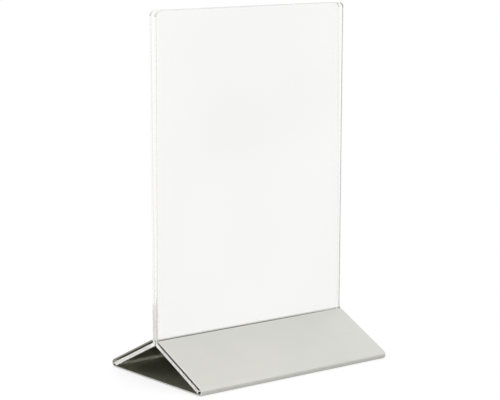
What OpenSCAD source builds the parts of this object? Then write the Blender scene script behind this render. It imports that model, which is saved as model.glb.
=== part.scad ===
// Table-top sign stand: a base folded from one steel sheet, and two clear acrylic panels that
// stand back to back in its slot. The sign card goes between the panels. Each panel is bent
// outwards at its foot into a leg, and the leg lies under one slope of the base, so that a panel
// comes out only by sliding endways.
//
// Axes: X along the base, -Y to the front, +Z up. The origin is on the surface that the stand
// rests on, under the middle of the base. Profiles are drawn for the rear half, in Y and Z.

/* [Overall] */
// Length of the base and of both panels, which end flush with each other
stand_len = 155; // [80:1:320]
// Depth of the base, over its front and rear folds
base_depth = 98; // [75:1:180]
// Height of the base at the edges of its slot
base_h = 27; // [21:1:40]
// Height of the panels above the slot
panel_rise = 210; // [100:1:330]

/* [Steel base] */
// Thickness of the steel sheet
steel_t = 1.0; // [0.6:0.1:1.5]
// Outer radius of the front and rear folds
fold_r = 2.8; // [2.4:0.1:4]

/* [Acrylic panels] */
// Thickness of a panel
panel_t = 2.5; // [1.5:0.1:3.5]
// Inner radius of the bend between a panel and its leg
leg_bend_r = 1.0; // [0.5:0.1:3]
// Radius of a panel's top corners
corner_r = 4; // [1:0.5:15]
// Gap between the panels at the height of the slot, so narrow that a card stands on the bends
pocket_foot = 0.3; // [0.2:0.1:1]
// Gap between the panels at their top edges, wider so that a card goes in easily
pocket_mouth = 3.0; // [2:0.1:6]

/* [Clearances] */
// Between a panel's outer face and the slot's edge
slot_clear = 0.3; // [0.2:0.05:1]
// Between a leg's upper face and the slope above it
leg_clear = 1.2; // [0.4:0.1:2]
// Between a leg's end and the bottom plate or the fold
seat_clear = 0.3; // [0.2:0.05:0.6]

/* [Hidden] */
$fn = 96;
STEEL = [0.84, 0.84, 0.82];
ACRYLIC = [0.90, 0.93, 0.93, 0.45];

// Centre of the rear fold
fold_c = [base_depth / 2 - fold_r, fold_r];

// A panel leans outwards a little, because its pocket is wider at the top than at the slot
panel_lean = atan((pocket_mouth - pocket_foot) / 2 / panel_rise);

// The slope is tangent to the fold and its inner corner clears the panel. Its outer corner
// depends on its own angle, so the angle is worked out in a few rounds.
slot_edge_y = pocket_foot / 2 + panel_t / cos(panel_lean) + slot_clear;
function slope_corner(angle) = [slot_edge_y + steel_t * sin(angle), base_h];
function tangent_angle(corner) =
    atan2(corner[1] - fold_c[1], fold_c[0] - corner[0]) - asin(fold_r / norm(fold_c - corner));
function solve_slope(angle, rounds) =
    rounds == 0 ? angle : solve_slope(tangent_angle(slope_corner(angle)), rounds - 1);
SOLVE_ROUNDS = 8;
slope = solve_slope(0, SOLVE_ROUNDS);
slope_top = slope_corner(slope);
slope_run = (fold_c - slope_top) * [cos(slope), -sin(slope)];

// Centre of a panel's bend: tangent to the pocket face of the panel and to the leg
bend_out_r = leg_bend_r + panel_t;
pocket_dist = [pocket_foot / 2, base_h] * [cos(panel_lean), -sin(panel_lean)] + bend_out_r;
leg_dist = slope_top * [sin(slope), cos(slope)] - steel_t - leg_clear + leg_bend_r;
bend_c = [
    pocket_dist * cos(slope) + leg_dist * sin(panel_lean),
    leg_dist * cos(panel_lean) - pocket_dist * sin(slope)
] / cos(slope - panel_lean);

// Flat length of a panel above its bend
pane_len = (base_h + panel_rise - bend_c[1] - bend_out_r * sin(panel_lean)) / cos(panel_lean);

// Flat length of a leg. The leg runs down beside the slope until a corner of its end comes too
// near the bottom plate or the inside of the fold. A face of the leg lies some way below the
// fold's centre, square to the slope, and from that follows how far past the centre it reaches.
fold_room = fold_r - steel_t - seat_clear;
function face_reach(below) =
    below < fold_room * cos(slope)
        ? sqrt(max(0, fold_room * fold_room - below * below))
        : (fold_room - below * cos(slope)) / sin(slope);
leg_top_below = leg_clear + steel_t - fold_r;
leg_len = (fold_c - bend_c) * [cos(slope), -sin(slope)]
    + min(face_reach(leg_top_below), face_reach(leg_top_below + panel_t));

// Sets a profile, drawn in Y and Z, along X
module along_x() {
    rotate([90, 0, 90]) linear_extrude(height = stand_len, center = true) children();
}

// A sheet bent round the origin. Its first flat runs along +y, on the -x side of the origin.
// Then comes the bend, anticlockwise, and its second flat leaves it after the turn. The flats
// are drawn thicker than the sheet, to overlap the bend's disc, and the hollow side is cut out.
module bent_sheet(r_in, t, turn, flat_1, flat_2) {
    r_out = r_in + t;
    drawn_t = t + r_in / 2;
    reach = 2 * r_out;
    difference() {
        union() {
            intersection() {
                circle(r_out);
                rotate(turn / 2) translate([-reach, -reach]) square([reach, 2 * reach]);
            }
            translate([-r_out, 0]) square([drawn_t, flat_1]);
            rotate(turn) translate([-r_out, -flat_2]) square([drawn_t, flat_2]);
        }
        circle(r_in);
        translate([-r_in, 0]) square([r_in, flat_1 + 1]);
        rotate(turn) translate([-r_in, -flat_2 - 1]) square([r_in, flat_2 + 1]);
    }
}

// Half of the bottom plate, rear fold and rear slope. The plate runs a little past the middle,
// so that the two halves are one sheet.
module base_half() {
    translate(fold_c) rotate(90)
        bent_sheet(fold_r - steel_t, steel_t, 180 - slope, fold_c[0] + steel_t, slope_run);
}

// One sheet: bottom plate, two rounded folds, and two slopes that stop at the open slot
module base_shell() {
    color(STEEL) along_x() {
        base_half();
        mirror([1, 0]) base_half();
    }
}

// Top strip of a panel, hung from its top edge, with two rounded corners
module top_strip_outline() {
    corner_x = stand_len / 2 - corner_r;
    translate([-corner_x - corner_r, -2 * corner_r]) square([stand_len, corner_r]);
    translate([-corner_x, -2 * corner_r]) square([2 * corner_x, 2 * corner_r]);
    for (side = [-1, 1])
        translate([side * corner_x, -corner_r]) circle(corner_r);
}

// Rear panel: upright pane, bend and leg, made of one sheet. The top strip overlaps the rest of
// the pane.
module bent_panel() {
    pane_below_strip = pane_len - 1.5 * corner_r;
    translate([0, bend_c[0], bend_c[1]]) rotate([-panel_lean, 0, 0]) {
        along_x()
            bent_sheet(leg_bend_r, panel_t, 90 - slope + panel_lean, pane_below_strip, leg_len);
        translate([0, -leg_bend_r, pane_len]) rotate([90, 0, 0])
            linear_extrude(height = panel_t) top_strip_outline();
    }
}

module front_panel() {
    color(ACRYLIC) mirror([0, 1, 0]) bent_panel();
}

module rear_panel() {
    color(ACRYLIC) bent_panel();
}

base_shell();
front_panel();
rear_panel();
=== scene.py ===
import math

import bmesh
import bpy
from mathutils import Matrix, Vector

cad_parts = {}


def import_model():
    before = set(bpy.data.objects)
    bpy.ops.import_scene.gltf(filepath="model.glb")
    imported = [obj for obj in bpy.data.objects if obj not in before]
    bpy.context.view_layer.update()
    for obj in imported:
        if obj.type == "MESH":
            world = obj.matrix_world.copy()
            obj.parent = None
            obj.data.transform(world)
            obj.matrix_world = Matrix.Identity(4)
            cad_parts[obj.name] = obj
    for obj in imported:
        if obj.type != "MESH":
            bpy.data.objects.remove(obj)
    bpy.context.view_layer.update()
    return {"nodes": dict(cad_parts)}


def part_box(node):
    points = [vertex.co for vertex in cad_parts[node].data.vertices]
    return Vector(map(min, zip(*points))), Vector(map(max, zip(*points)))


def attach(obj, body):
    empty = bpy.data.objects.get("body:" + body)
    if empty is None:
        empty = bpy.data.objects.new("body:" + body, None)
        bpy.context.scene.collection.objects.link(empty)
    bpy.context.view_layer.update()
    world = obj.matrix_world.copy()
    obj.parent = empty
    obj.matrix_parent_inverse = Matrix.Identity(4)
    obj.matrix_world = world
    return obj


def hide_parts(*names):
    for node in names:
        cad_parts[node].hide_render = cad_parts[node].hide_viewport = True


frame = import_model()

# Table-top sign stand: a folded satin steel base and two clear acrylic panels. Metres, +Z up.

MM = 0.001

# Camera, at the height and angle of a product picture
CAMERA_AZIMUTH = -38.6
CAMERA_ELEVATION = 9.4
CAMERA_DISTANCE = 1.19
CAMERA_TARGET = Vector((-0.008, -0.010, 0.112))
CAMERA_LENS_MM = 131.7

# Light: the floor's white glow as the camera sees it and the share of it that is mirrored, the
# world's strength as a light and as it is seen, and the lamp
FLOOR_HALF_WIDTH = 20.0
FLOOR_FILL = 0.65
FLOOR_FILL_MIRRORED = 0.5
WORLD_LIT = 0.75
WORLD_SEEN = 1.0
LAMP_STRENGTH = 0.62
LAMP_SPREAD = math.radians(35)
LAMP_DIRECTION = Vector((0.9, 1.1, -1.5))

# Shape of the eased edges
WELD = 0.001 * MM
FLAT_ANGLE = math.radians(1)
SHARP_ANGLE = math.radians(40)
STEEL_EASE = 0.12 * MM
ACRYLIC_EASE = 0.18 * MM

# Depth of the brushing and of the marks on cut edges
MARK_DEPTH = 0.02 * MM

# The base: the outer radius of its folds, how deep its slot's edges reach below its top, and how far
# a point may lie past a face that still counts as outside
FOLD_RADIUS = 2.8 * MM
SLOT_EDGE_DEPTH = 1.2 * MM
OUTSIDE_MARGIN = 0.02 * MM

# On the base's end, the heights between which the bottom plate turns into the slopes, and half the
# width over which the front slope turns into the rear one: where the end edges' painted light blends
PLATE_TOP = 1.1 * MM
SLOPE_START = 1.6 * MM
MIDDLE = 1 * MM

# Distances from the middle plane between which a panel's upright pane turns into its leg, where the
# painted shade of the legs' ends begins
PANE_REACH = 3.5 * MM
LEG_START = 6 * MM

# How much of a face's normal lies along X in a panel's end and in its rounded corners, and along X
# and along Y in the eased edge painted dark as painted shade: more than this
END_TURN = 0.99
CORNER_TURN = 0.01
EDGE_TURN = 0.1

# Material numbers of the base and of a panel, in the order of their lists of materials
OUTSIDE, INSIDE, END_EDGE, SLOT_EDGE, INSIDE_FOLD = range(5)
POLISHED, ARRIS, END, PAINTED_DARK_EDGE, FILED = range(5)

WHITE = (1, 1, 1)


# ---------------------------------------------------------------- shapes

def eased_copy(node, name, ease, arris):
    """A copy of a CAD node's mesh in which every sharp edge has a narrow round. Faces of the
    rounds get material number arris."""
    bm = bmesh.new()
    bm.from_mesh(frame["nodes"][node].data)
    bmesh.ops.remove_doubles(bm, verts=bm.verts, dist=WELD)
    bmesh.ops.dissolve_limit(bm, angle_limit=FLAT_ANGLE, verts=bm.verts, edges=bm.edges)
    sharp = [e for e in bm.edges if e.is_manifold and e.calc_face_angle() > SHARP_ANGLE]
    bmesh.ops.bevel(bm, geom=sharp, offset=ease, segments=3, profile=0.5, affect="EDGES",
                    material=arris)
    bm.normal_update()
    mesh = bpy.data.meshes.new(name)
    bm.to_mesh(mesh)
    bm.free()
    piece = bpy.data.objects.new(name, mesh)
    bpy.context.scene.collection.objects.link(piece)
    for face in mesh.polygons:
        face.use_smooth = True
    normals = piece.modifiers.new("face_weighted_normals", "WEIGHTED_NORMAL")
    normals.weight = 100
    return piece


# ---------------------------------------------------------------- materials

class Nodes:
    """A material's node tree, with short calls to add and join nodes."""

    def __init__(self, name):
        self.material = bpy.data.materials.new(name)
        self.material.use_nodes = True
        self.tree = self.material.node_tree
        self.tree.nodes.clear()
        self.output = self.add("ShaderNodeOutputMaterial")

    def add(self, kind, **values):
        node = self.tree.nodes.new(kind)
        for key, value in values.items():
            setattr(node, key, value)
        return node

    def link(self, source, target):
        self.tree.links.new(source, target)

    def place(self, scale=(1, 1, 1), shift=(0, 0, 0)):
        """Positions on the object, in metres, stretched by scale and then moved by shift."""
        where = self.add("ShaderNodeTexCoord")
        mapping = self.add("ShaderNodeMapping")
        mapping.inputs["Scale"].default_value = scale
        mapping.inputs["Location"].default_value = shift
        self.link(where.outputs["Object"], mapping.inputs["Vector"])
        return mapping.outputs["Vector"]

    def place_apart(self):
        """The X, Y and Z outputs of the positions on the object."""
        apart = self.add("ShaderNodeSeparateXYZ")
        self.link(self.place(), apart.inputs["Vector"])
        return apart.outputs

    def noise(self, scale, stretch=(1, 1, 1), shift=(0, 0, 0), detail=2.0, roughness=0.5):
        texture = self.add("ShaderNodeTexNoise")
        texture.inputs["Scale"].default_value = scale
        texture.inputs["Detail"].default_value = detail
        texture.inputs["Roughness"].default_value = roughness
        self.link(self.place(stretch, shift), texture.inputs["Vector"])
        return texture.outputs["Fac"]

    def marks(self):
        """The fine marks that cutting and filing leave on an edge."""
        return self.noise(1, stretch=(900, 900, 2600), detail=3)

    def ramp(self, factor, stops):
        """A colour for each value of factor. stops are (position, colour) pairs."""
        ramp = self.add("ShaderNodeValToRGB")
        elements = ramp.color_ramp.elements
        for number, (position, colour) in enumerate(stops):
            element = elements[number] if number < 2 else elements.new(position)
            element.position = position
            element.color = (*colour, 1)
        self.link(factor, ramp.inputs["Fac"])
        return ramp.outputs["Color"]

    def spread(self, factor, low, high, start=0.0, end=1.0):
        """factor, which runs from start to end, spread from low to high."""
        spread = self.add("ShaderNodeMapRange")
        spread.inputs["From Min"].default_value = start
        spread.inputs["From Max"].default_value = end
        spread.inputs["To Min"].default_value = low
        spread.inputs["To Max"].default_value = high
        self.link(factor, spread.inputs["Value"])
        return spread.outputs["Result"]

    def blend(self, factor, first, second):
        """first where factor is 0, second where it is 1. Each is a colour or an output."""
        mix = self.add("ShaderNodeMix", data_type="RGBA")
        self.link(factor, mix.inputs["Factor"])
        for side, value in (("A", first), ("B", second)):
            if isinstance(value, tuple):
                mix.inputs[side].default_value = (*value, 1)
            else:
                self.link(value, mix.inputs[side])
        return mix.outputs["Result"]

    def multiply(self, first, second):
        product = self.add("ShaderNodeMix", data_type="RGBA", blend_type="MULTIPLY")
        product.inputs["Factor"].default_value = 1
        self.link(first, product.inputs["A"])
        self.link(second, product.inputs["B"])
        return product.outputs["Result"]

    def mix(self, factor, first, second):
        """The first shader where factor is 0, the second where it is 1."""
        mix = self.add("ShaderNodeMixShader")
        self.link(factor, mix.inputs["Fac"])
        self.link(first, mix.inputs[1])
        self.link(second, mix.inputs[2])
        return mix.outputs["Shader"]

    def bump(self, height, strength):
        bump = self.add("ShaderNodeBump")
        bump.inputs["Strength"].default_value = strength
        bump.inputs["Distance"].default_value = MARK_DEPTH
        self.link(height, bump.inputs["Height"])
        return bump.outputs["Normal"]

    def principled(self, **values):
        shader = self.add("ShaderNodeBsdfPrincipled")
        for key, value in values.items():
            shader.inputs[key.replace("_", " ")].default_value = value
        return shader

    def with_surface(self, surface):
        """The material, with surface as its shader."""
        self.link(surface, self.output.inputs["Surface"])
        return self.material


def steel(name, darkest, lightest, roughness):
    """Stainless steel brushed along X: long fine streaks over broad, faint patches. roughness
    is its lowest and highest value."""
    n = Nodes(name)
    shader = n.principled(Metallic=1.0)
    patches = n.noise(9, shift=(0.4, 0, 0), detail=3)
    streaks = n.noise(1, stretch=(25, 2600, 2600), detail=3, roughness=0.6)
    colour = n.ramp(patches, [(0.3, darkest), (0.7, lightest)])
    shade = n.ramp(streaks, [(0.25, (0.97,) * 3), (0.75, WHITE)])
    n.link(n.multiply(colour, shade), shader.inputs["Base Color"])
    n.link(n.spread(streaks, *roughness), shader.inputs["Roughness"])
    n.link(n.bump(streaks, 0.12), shader.inputs["Normal"])
    return n.with_surface(shader.outputs["BSDF"])


def cut_edge(name, front, rear, bottom):
    """A sawn and deburred edge of the steel sheet, under fine marks: each slope's and the bottom
    plate's colour. Where these differ they are painted light: the edge lighter or darker by where it
    lies."""
    n = Nodes(name)
    shader = n.principled(Metallic=1.0, Roughness=0.4)
    apart = n.place_apart()
    marks = n.marks()
    # Painted light: the colour changes from the front slope to the rear one and from the bottom plate
    # upwards
    slopes = n.blend(n.spread(apart["Y"], 0, 1, -MIDDLE, MIDDLE), front, rear)
    colour = n.blend(n.spread(apart["Z"], 0, 1, PLATE_TOP, SLOPE_START), bottom, slopes)
    shade = n.ramp(marks, [(0.3, (0.92,) * 3), (0.7, WHITE)])
    n.link(n.multiply(colour, shade), shader.inputs["Base Color"])
    n.link(n.bump(marks, 0.2), shader.inputs["Normal"])
    return n.with_surface(shader.outputs["BSDF"])


def acrylic(name, darkest, lightest, roughness=None, leg=WHITE):
    """Clear acrylic, multiplied by the leg colour away from the upright pane: painted shade where the
    legs stand in the base. roughness is its lowest and highest value, or None where it is polished.
    Light from the lamp passes through it."""
    n = Nodes(name)
    shader = n.principled(IOR=1.49, Transmission_Weight=1.0, Roughness=0)
    aside = n.add("ShaderNodeMath", operation="ABSOLUTE")
    n.link(n.place_apart()["Y"], aside.inputs[0])
    # Painted shade: darker on the legs, which stand in the base
    on_leg = n.spread(aside.outputs["Value"], 0, 1, PANE_REACH, LEG_START)
    cloud = n.ramp(n.noise(9, detail=1), [(0.3, darkest), (0.7, lightest)])
    n.link(n.multiply(cloud, n.blend(on_leg, WHITE, leg)), shader.inputs["Base Color"])
    if roughness:
        marks = n.marks()
        n.link(n.spread(marks, *roughness), shader.inputs["Roughness"])
        n.link(n.bump(marks, 0.2), shader.inputs["Normal"])
    shadow = n.add("ShaderNodeLightPath").outputs["Is Shadow Ray"]
    unlit = n.add("ShaderNodeBsdfTransparent")
    return n.with_surface(n.mix(shadow, shader.outputs["BSDF"], unlit.outputs["BSDF"]))


def matt_acrylic(name, darkest, lightest):
    """Matt acrylic: as a file leaves it, and dark on one eased edge as painted shade."""
    n = Nodes(name)
    shader = n.principled(Roughness=0.5, IOR=1.49)
    marks = n.marks()
    n.link(n.ramp(marks, [(0.3, darkest), (0.7, lightest)]), shader.inputs["Base Color"])
    n.link(n.bump(marks, 0.2), shader.inputs["Normal"])
    return n.with_surface(shader.outputs["BSDF"])


def base_materials():
    slot = (0.86, 0.86, 0.83)
    return (
        steel("satin_steel", (0.665, 0.667, 0.630), (0.745, 0.742, 0.697), (0.30, 0.42)),
        # Inside of the sheet: rougher than the outside, and darker and browner: painted shade in the
        # base's hollow
        steel("satin_steel_inside", (0.36, 0.36, 0.29), (0.45, 0.44, 0.36), (0.46, 0.60)),
        # End edges: painted highlight on the front slope, painted shade on the rear slope and on the
        # bottom plate
        cut_edge("satin_steel_end_edge_painted_light", front=(0.97, 0.97, 0.94), rear=(0.45, 0.45, 0.40),
                 bottom=(0.84, 0.84, 0.81)),
        cut_edge("satin_steel_slot_edge", front=slot, rear=slot, bottom=slot),
        steel("satin_steel_inside_fold", (0.84, 0.84, 0.75), (0.90, 0.90, 0.81), (0.05, 0.10)),
    )


def panel_materials():
    return (
        acrylic("clear_acrylic_polished", (0.948, 0.948, 0.944), (0.970, 0.970, 0.967)),
        acrylic("clear_acrylic_arris", (0.78, 0.79, 0.78), (0.86, 0.87, 0.86), roughness=(0.1, 0.25)),
        # Ends: darker and warmer on the legs, painted shade where they stand in the base
        acrylic("clear_acrylic_end", (0.95, 0.95, 0.94), (0.98, 0.98, 0.97), leg=(0.61, 0.60, 0.56)),
        # Painted shade: a dark eased edge that draws the thin grey line along the front pane's right
        # edge
        matt_acrylic("acrylic_painted_dark_edge", (0.06, 0.06, 0.06), (0.12, 0.12, 0.12)),
        matt_acrylic("acrylic_filed", (0.93, 0.93, 0.925), (0.98, 0.98, 0.975)),
    )


# ---------------------------------------------------------------- pieces

def base():
    piece = eased_copy("base_shell", "steel_base", STEEL_EASE, arris=END_EDGE)
    for material in base_materials():
        piece.data.materials.append(material)
    corners = [v.co.copy() for v in piece.data.vertices]
    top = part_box("base_shell")[1]
    slot_z, fold_y = top.z - SLOT_EDGE_DEPTH, top.y - FOLD_RADIUS
    for face in piece.data.polygons:
        reach = face.normal.dot(face.center) + OUTSIDE_MARGIN
        outside = all(face.normal.dot(corner) < reach for corner in corners)
        if face.center.z > slot_z and face.normal.y * face.center.y < 0:
            face.material_index = SLOT_EDGE
        # Sheet ends take the end edge material, with its painted highlight and painted shade
        elif abs(face.normal.x) > 0.5:
            face.material_index = END_EDGE
        elif face.material_index == OUTSIDE and not outside:
            face.material_index = INSIDE_FOLD if abs(face.center.y) > fold_y else INSIDE
    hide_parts("base_shell")
    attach(piece, "base")


def panel(node, name, body, materials, painted_dark_edge=None):
    """One bent acrylic sheet, its rounded corners filed. If the last argument is given, one upright
    eased edge is painted dark as painted shade, which draws a thin grey line along the pane: the one
    that faces that way, +1 or -1, along X and along Y."""
    piece = eased_copy(node, name, ACRYLIC_EASE, arris=ARRIS)
    for material in materials:
        piece.data.materials.append(material)
    for face in piece.data.polygons:
        x, y = face.normal.xy
        if abs(x) > END_TURN:
            face.material_index = END
        elif face.material_index == POLISHED and abs(x) > CORNER_TURN:
            face.material_index = FILED
        # The eased edge picked by the last argument is painted dark: painted shade
        elif face.material_index == ARRIS and painted_dark_edge:
            if x * painted_dark_edge[0] > EDGE_TURN and y * painted_dark_edge[1] > EDGE_TURN:
                face.material_index = PAINTED_DARK_EDGE
    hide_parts(node)
    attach(piece, body)


# ---------------------------------------------------------------- floor, light and camera

def seen_directly(tree, mirrored=1.0):
    """1 for rays from the camera or through glass, mirrored for glossy rays, otherwise 0."""
    path = tree.nodes.new("ShaderNodeLightPath")
    total = path.outputs["Is Camera Ray"]
    for name, share in (("Is Glossy Ray", mirrored), ("Is Transmission Ray", 1.0)):
        part = tree.nodes.new("ShaderNodeMath")
        part.operation = "MULTIPLY_ADD"
        tree.links.new(path.outputs[name], part.inputs[0])
        part.inputs[1].default_value = share
        tree.links.new(total, part.inputs[2])
        part.use_clamp = True
        total = part.outputs["Value"]
    return total


def floor_material():
    """A plain grey floor, which the camera sees as white except in the object's shadow."""
    n = Nodes("floor")
    shader = n.principled(Roughness=0.9)
    shader.inputs["Specular IOR Level"].default_value = 0
    grain = n.noise(60, detail=2)
    n.link(n.ramp(grain, [(0, (0.40,) * 3), (1, (0.42,) * 3)]), shader.inputs["Base Color"])
    fill = n.add("ShaderNodeEmission")
    strength = n.add("ShaderNodeMath", operation="MULTIPLY")
    strength.inputs[1].default_value = FLOOR_FILL
    n.link(seen_directly(n.tree, mirrored=FLOOR_FILL_MIRRORED), strength.inputs[0])
    n.link(strength.outputs["Value"], fill.inputs["Strength"])
    both = n.add("ShaderNodeAddShader")
    n.link(shader.outputs["BSDF"], both.inputs[0])
    n.link(fill.outputs["Emission"], both.inputs[1])
    return n.with_surface(both.outputs["Shader"])


def floor():
    mesh = bpy.data.meshes.new("floor")
    half = FLOOR_HALF_WIDTH
    mesh.from_pydata([(-half, -half, 0), (half, -half, 0), (half, half, 0), (-half, half, 0)],
                     [], [(0, 1, 2, 3)])
    plane = bpy.data.objects.new("floor", mesh)
    bpy.context.scene.collection.objects.link(plane)
    mesh.materials.append(floor_material())


def world():
    scene_world = bpy.data.worlds.new("studio")
    scene_world.use_nodes = True
    tree = scene_world.node_tree
    background = tree.nodes["Background"]
    background.inputs["Color"].default_value = (*WHITE, 1)
    strength = tree.nodes.new("ShaderNodeMapRange")
    strength.inputs["To Min"].default_value = WORLD_LIT
    strength.inputs["To Max"].default_value = WORLD_SEEN
    tree.links.new(seen_directly(tree), strength.inputs["Value"])
    tree.links.new(strength.outputs["Result"], background.inputs["Strength"])
    bpy.context.scene.world = scene_world


def lamp():
    """One wide, soft lamp so far away that it lights the whole floor evenly."""
    data = bpy.data.lights.new("key", "SUN")
    data.angle = LAMP_SPREAD
    data.energy = LAMP_STRENGTH
    sun = bpy.data.objects.new("key", data)
    sun.rotation_euler = LAMP_DIRECTION.to_track_quat("-Z", "Y").to_euler()
    sun.visible_camera = False
    sun.visible_glossy = False
    sun.visible_transmission = False
    bpy.context.scene.collection.objects.link(sun)


def light_paths():
    """Long, unblurred paths: seen from its end, a clear sheet passes light on along its length."""
    cycles = bpy.context.scene.cycles
    cycles.max_bounces = 128
    cycles.glossy_bounces = 96
    cycles.transmission_bounces = 128
    cycles.blur_glossy = 0


def camera():
    data = bpy.data.cameras.new("camera")
    data.lens = CAMERA_LENS_MM
    azimuth, elevation = math.radians(CAMERA_AZIMUTH), math.radians(CAMERA_ELEVATION)
    back = Vector((math.sin(azimuth) * math.cos(elevation),
                   -math.cos(azimuth) * math.cos(elevation), math.sin(elevation)))
    eye = bpy.data.objects.new("camera", data)
    eye.location = CAMERA_TARGET + back * CAMERA_DISTANCE
    eye.rotation_euler = (-back).to_track_quat("-Z", "Y").to_euler()
    bpy.context.scene.collection.objects.link(eye)
    bpy.context.scene.camera = eye


camera()
base()
sheet_materials = panel_materials()
# The front panel's inner eased edge at its right end is painted dark as painted shade
panel("front_panel", "acrylic_front_panel", "front_sheet", sheet_materials, painted_dark_edge=(1, 1))
panel("rear_panel", "acrylic_rear_panel", "rear_sheet", sheet_materials)
floor()
world()
light_paths()
lamp()
bpy.context.scene.view_settings.view_transform = "Standard"
